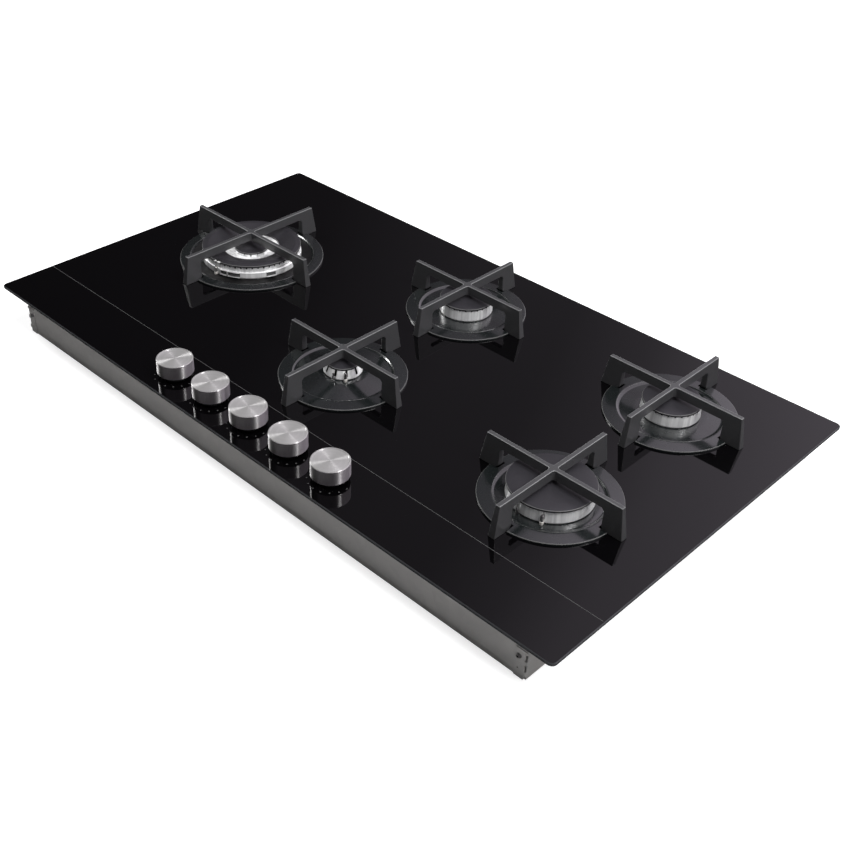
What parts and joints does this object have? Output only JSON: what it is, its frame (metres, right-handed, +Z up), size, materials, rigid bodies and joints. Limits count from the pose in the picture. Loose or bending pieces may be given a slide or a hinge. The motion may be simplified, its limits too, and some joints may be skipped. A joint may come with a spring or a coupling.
{
  "type": "gas cooktop",
  "caption": "Built-in gas hob: black glass top over a folded steel tray, with lift-off cast pan supports, round burners on enamelled plates and push-and-turn metal knobs.",
  "frame": {"origin": "middle of the flat bottom of the tray, which is the lowest surface", "axes": "+X along the knob row to the right as seen from the cook, +Y from the knobs to the back, +Z up"},
  "size_m": [0.88, 0.5, 0.0923],
  "materials": {
    "black_glass": "polished black toughened glass, printed on its underside so nothing shows through",
    "zinc_steel": "plain zinc-coated sheet, satin",
    "silicone": "matt black silicone",
    "bright_steel": "bright plated steel",
    "knob_metal": "satin metal with a spun top",
    "brass": "machined brass",
    "cast_aluminium": "machined casting, satin",
    "grey_enamel": "glossy dark grey enamel",
    "dark_enamel": "satin dark grey enamel",
    "cast_iron": "matt enamelled cast iron",
    "ceramic": "white glazed ceramic",
    "pale_plastic": "pale plastic case",
    "black_plastic": "black plastic"
  },
  "bodies": {
    "hob": {"glass_top": "black_glass", "base_tray": "zinc_steel", "glass_bead": "silicone", "case_screws": "bright_steel", "tap_bodies": "brass", "tap_clamps": "zinc_steel", "tap_screws": "bright_steel", "stem_seals": "silicone", "gas_rail": "bright_steel", "rail_brackets": "zinc_steel", "gas_inlet": "brass", "feed_pipes": "cast_aluminium", "burner_cup_wok": "cast_aluminium", "burner_cup_simmer": "cast_aluminium", "burner_cup_centre": "cast_aluminium", "burner_cup_right": "cast_aluminium", "burner_cup_rapid": "cast_aluminium", "burner_plate_wok": "grey_enamel", "burner_plate_simmer": "grey_enamel", "burner_plate_centre": "grey_enamel", "burner_plate_right": "grey_enamel", "burner_plate_rapid": "grey_enamel", "injectors": "brass", "igniters": "ceramic", "flame_sensors": "bright_steel", "ignition_module": "pale_plastic", "terminal_box": "black_plastic", "cable_gland": "black_plastic"},
    "plug_1": {"tap_plug_1": "brass"},
    "knob_1": {"knob_1": "knob_metal", "tap_stem_1": "brass"},
    "plug_2": {"tap_plug_2": "brass"},
    "knob_2": {"knob_2": "knob_metal", "tap_stem_2": "brass"},
    "plug_3": {"tap_plug_3": "brass"},
    "knob_3": {"knob_3": "knob_metal", "tap_stem_3": "brass"},
    "plug_4": {"tap_plug_4": "brass"},
    "knob_4": {"knob_4": "knob_metal", "tap_stem_4": "brass"},
    "plug_5": {"tap_plug_5": "brass"},
    "knob_5": {"knob_5": "knob_metal", "tap_stem_5": "brass"},
    "support_wok": {"pan_support_wok": "cast_iron"},
    "head_wok": {"burner_head_wok": "cast_aluminium"},
    "cap_wok": {"burner_cap_wok": "dark_enamel"},
    "support_simmer": {"pan_support_simmer": "cast_iron"},
    "head_simmer": {"burner_head_simmer": "cast_aluminium"},
    "cap_simmer": {"burner_cap_simmer": "dark_enamel"},
    "support_centre": {"pan_support_centre": "cast_iron"},
    "head_centre": {"burner_head_centre": "cast_aluminium"},
    "cap_centre": {"burner_cap_centre": "dark_enamel"},
    "support_right": {"pan_support_right": "cast_iron"},
    "head_right": {"burner_head_right": "cast_aluminium"},
    "cap_right": {"burner_cap_right": "dark_enamel"},
    "support_rapid": {"pan_support_rapid": "cast_iron"},
    "head_rapid": {"burner_head_rapid": "cast_aluminium"},
    "cap_rapid": {"burner_cap_rapid": "dark_enamel"},
    "cap_wok_inner": {"burner_cap_wok_inner": "dark_enamel"}
  },
  "joints": [
    {"name": "tap_turn_1", "type": "hinge", "parent": "hob", "child": "plug_1", "pos_m": [-0.1274, -0.214, 0.024], "axis": [0, 0, 1], "range_deg": [0, 210]},
    {"name": "knob_push_1", "type": "slide", "parent": "plug_1", "child": "knob_1", "axis": [0, 0, -1], "range_m": [0, 0.004], "stiffness_N_per_m": 1200, "springref_m": -0.002},
    {"name": "tap_turn_2", "type": "hinge", "parent": "hob", "child": "plug_2", "pos_m": [-0.0637, -0.214, 0.024], "axis": [0, 0, 1], "range_deg": [0, 210]},
    {"name": "knob_push_2", "type": "slide", "parent": "plug_2", "child": "knob_2", "axis": [0, 0, -1], "range_m": [0, 0.004], "stiffness_N_per_m": 1200, "springref_m": -0.002},
    {"name": "tap_turn_3", "type": "hinge", "parent": "hob", "child": "plug_3", "pos_m": [0, -0.214, 0.024], "axis": [0, 0, 1], "range_deg": [0, 210]},
    {"name": "knob_push_3", "type": "slide", "parent": "plug_3", "child": "knob_3", "axis": [0, 0, -1], "range_m": [0, 0.004], "stiffness_N_per_m": 1200, "springref_m": -0.002},
    {"name": "tap_turn_4", "type": "hinge", "parent": "hob", "child": "plug_4", "pos_m": [0.0637, -0.214, 0.024], "axis": [0, 0, 1], "range_deg": [0, 210]},
    {"name": "knob_push_4", "type": "slide", "parent": "plug_4", "child": "knob_4", "axis": [0, 0, -1], "range_m": [0, 0.004], "stiffness_N_per_m": 1200, "springref_m": -0.002},
    {"name": "tap_turn_5", "type": "hinge", "parent": "hob", "child": "plug_5", "pos_m": [0.1274, -0.214, 0.024], "axis": [0, 0, 1], "range_deg": [0, 210]},
    {"name": "knob_push_5", "type": "slide", "parent": "plug_5", "child": "knob_5", "axis": [0, 0, -1], "range_m": [0, 0.004], "stiffness_N_per_m": 1200, "springref_m": -0.002},
    {"name": "support_lift_wok", "type": "slide", "parent": "hob", "child": "support_wok", "axis": [0, 0, 1], "range_m": [0, 0.06]},
    {"name": "head_lift_wok", "type": "slide", "parent": "hob", "child": "head_wok", "axis": [0, 0, 1], "range_m": [0, 0.004]},
    {"name": "cap_lift_wok", "type": "slide", "parent": "head_wok", "child": "cap_wok", "axis": [0, 0, 1], "range_m": [0, 0.004]},
    {"name": "support_lift_simmer", "type": "slide", "parent": "hob", "child": "support_simmer", "axis": [0, 0, 1], "range_m": [0, 0.06]},
    {"name": "head_lift_simmer", "type": "slide", "parent": "hob", "child": "head_simmer", "axis": [0, 0, 1], "range_m": [0, 0.004]},
    {"name": "cap_lift_simmer", "type": "slide", "parent": "head_simmer", "child": "cap_simmer", "axis": [0, 0, 1], "range_m": [0, 0.004]},
    {"name": "support_lift_centre", "type": "slide", "parent": "hob", "child": "support_centre", "axis": [0, 0, 1], "range_m": [0, 0.06]},
    {"name": "head_lift_centre", "type": "slide", "parent": "hob", "child": "head_centre", "axis": [0, 0, 1], "range_m": [0, 0.004]},
    {"name": "cap_lift_centre", "type": "slide", "parent": "head_centre", "child": "cap_centre", "axis": [0, 0, 1], "range_m": [0, 0.004]},
    {"name": "support_lift_right", "type": "slide", "parent": "hob", "child": "support_right", "axis": [0, 0, 1], "range_m": [0, 0.06]},
    {"name": "head_lift_right", "type": "slide", "parent": "hob", "child": "head_right", "axis": [0, 0, 1], "range_m": [0, 0.004]},
    {"name": "cap_lift_right", "type": "slide", "parent": "head_right", "child": "cap_right", "axis": [0, 0, 1], "range_m": [0, 0.004]},
    {"name": "support_lift_rapid", "type": "slide", "parent": "hob", "child": "support_rapid", "axis": [0, 0, 1], "range_m": [0, 0.06]},
    {"name": "head_lift_rapid", "type": "slide", "parent": "hob", "child": "head_rapid", "axis": [0, 0, 1], "range_m": [0, 0.004]},
    {"name": "cap_lift_rapid", "type": "slide", "parent": "head_rapid", "child": "cap_rapid", "axis": [0, 0, 1], "range_m": [0, 0.004]},
    {"name": "cap_lift_wok_inner", "type": "slide", "parent": "head_wok", "child": "cap_wok_inner", "axis": [0, 0, 1], "range_m": [0, 0.004]}
  ]
}
